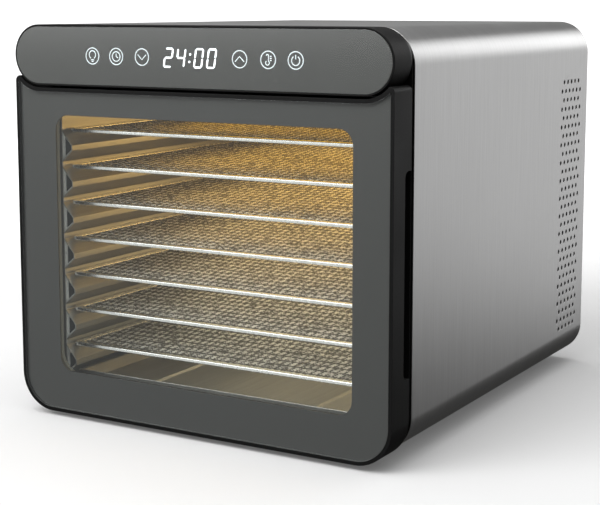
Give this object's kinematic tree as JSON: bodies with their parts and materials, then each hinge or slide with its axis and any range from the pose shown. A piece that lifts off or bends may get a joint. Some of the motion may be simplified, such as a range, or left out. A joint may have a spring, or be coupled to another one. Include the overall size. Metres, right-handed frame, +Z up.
{
  "type": "food dehydrator",
  "caption": "Cabinet food dehydrator: brushed steel case, pill-shaped touch panel, side-hinged window door, slide-out mesh trays over a drip tray, rear fan and ring heater.",
  "frame": {"origin": "on the floor under the middle of the bounding box", "axes": "+X to the right seen from the front, +Y from the door to the back, +Z up"},
  "size_m": [0.34, 0.41, 0.318],
  "materials": {
    "steel_case": "satin, grain running up the sides",
    "sheet_steel": "plain galvanised sheet",
    "stainless": "bright stainless sheet",
    "fasteners": "machined",
    "black_plastic": "fine texture",
    "trim_plastic": "satin",
    "panel_glass": "back-printed dark grey",
    "door_glass": "back-printed dark grey round a clear window",
    "rubber": "matte",
    "silicone": "soft matte",
    "magnet": "nickel plated",
    "circuit_board": "solder mask",
    "display": "white segment display",
    "touch_springs": "plated",
    "components": "moulded cases",
    "ceramic": "pale ceramic",
    "heater": "heat-darkened tube",
    "motor": "lacquered steel",
    "fan": "pressed",
    "bulb": "frosted",
    "lens": "clear",
    "chrome": "polished",
    "tray_mesh": "woven wire"
  },
  "bodies": {
    "root": {"outer_wrap": "steel_case", "base_plate": "sheet_steel", "motor_bracket": "sheet_steel", "chamber_supports": "sheet_steel", "hinge_brackets": "sheet_steel", "chamber_left_wall": "stainless", "chamber_right_wall": "stainless", "chamber_top": "stainless", "chamber_floor": "stainless", "chamber_baffle": "stainless", "cover_screws": "fasteners", "small_screws": "fasteners", "hinge_pins": "fasteners", "board_standoffs": "fasteners", "latch_strikes": "fasteners", "temperature_probe": "fasteners", "front_frame": "black_plastic", "rear_cover": "black_plastic", "cord_gland": "black_plastic", "panel_housing": "trim_plastic", "panel_glass": "panel_glass", "feet": "rubber", "display_board": "circuit_board", "power_board": "circuit_board", "display_module": "display", "touch_pads": "touch_springs", "board_components": "components", "thermal_cutout": "components", "heater_clips": "ceramic", "lamp_holder": "ceramic", "terminal_block": "ceramic", "heater_element": "heater", "fan_motor": "motor", "lamp_bulb": "bulb", "lamp_lens": "lens"},
    "door": {"door_frame": "trim_plastic", "door_glass": "door_glass", "door_liner": "black_plastic", "door_gasket": "silicone", "latch_magnets": "magnet", "liner_screws": "fasteners"},
    "fan": {"fan_blade": "fan", "fan_shaft": "fasteners", "fan_nut": "fasteners"},
    "drip_tray": {"drip_tray": "stainless"},
    "tray_1": {"tray_1_frame": "chrome", "tray_1_mesh": "tray_mesh"},
    "tray_2": {"tray_2_frame": "chrome", "tray_2_mesh": "tray_mesh"},
    "tray_3": {"tray_3_frame": "chrome", "tray_3_mesh": "tray_mesh"},
    "tray_4": {"tray_4_frame": "chrome", "tray_4_mesh": "tray_mesh"},
    "tray_5": {"tray_5_frame": "chrome", "tray_5_mesh": "tray_mesh"},
    "tray_6": {"tray_6_frame": "chrome", "tray_6_mesh": "tray_mesh"},
    "tray_7": {"tray_7_frame": "chrome", "tray_7_mesh": "tray_mesh"}
  },
  "joints": [
    {"name": "door_hinge", "type": "hinge", "parent": "root", "child": "door", "pos_m": [-0.166, -0.181, 0.14], "axis": [0, 0, -1], "range_deg": [0, 110]},
    {"name": "fan_spin", "type": "hinge", "parent": "root", "child": "fan", "pos_m": [0, 0.145, 0.14], "axis": [0, 1, 0], "continuous": true},
    {"name": "tray_1_slide", "type": "slide", "parent": "root", "child": "tray_1", "axis": [0, -1, 0], "range_m": [0, 0.27]},
    {"name": "tray_2_slide", "type": "slide", "parent": "root", "child": "tray_2", "axis": [0, -1, 0], "range_m": [0, 0.27]},
    {"name": "tray_3_slide", "type": "slide", "parent": "root", "child": "tray_3", "axis": [0, -1, 0], "range_m": [0, 0.27]},
    {"name": "tray_4_slide", "type": "slide", "parent": "root", "child": "tray_4", "axis": [0, -1, 0], "range_m": [0, 0.27]},
    {"name": "tray_5_slide", "type": "slide", "parent": "root", "child": "tray_5", "axis": [0, -1, 0], "range_m": [0, 0.27]},
    {"name": "tray_6_slide", "type": "slide", "parent": "root", "child": "tray_6", "axis": [0, -1, 0], "range_m": [0, 0.27]},
    {"name": "tray_7_slide", "type": "slide", "parent": "root", "child": "tray_7", "axis": [0, -1, 0], "range_m": [0, 0.27]},
    {"name": "drip_tray_slide", "type": "slide", "parent": "root", "child": "drip_tray", "axis": [0, -1, 0], "range_m": [0, 0.27]}
  ],
  "couplings": [
    {"joint": "tray_1_slide", "follows": "door_hinge", "m_per_rad": 0.044},
    {"joint": "tray_2_slide", "follows": "door_hinge", "m_per_rad": 0.044},
    {"joint": "tray_3_slide", "follows": "door_hinge", "m_per_rad": 0.044},
    {"joint": "tray_4_slide", "follows": "door_hinge", "m_per_rad": 0.044},
    {"joint": "tray_5_slide", "follows": "door_hinge", "m_per_rad": 0.044},
    {"joint": "tray_6_slide", "follows": "door_hinge", "m_per_rad": 0.044},
    {"joint": "tray_7_slide", "follows": "door_hinge", "m_per_rad": 0.044},
    {"joint": "drip_tray_slide", "follows": "door_hinge", "m_per_rad": 0.044}
  ]
}
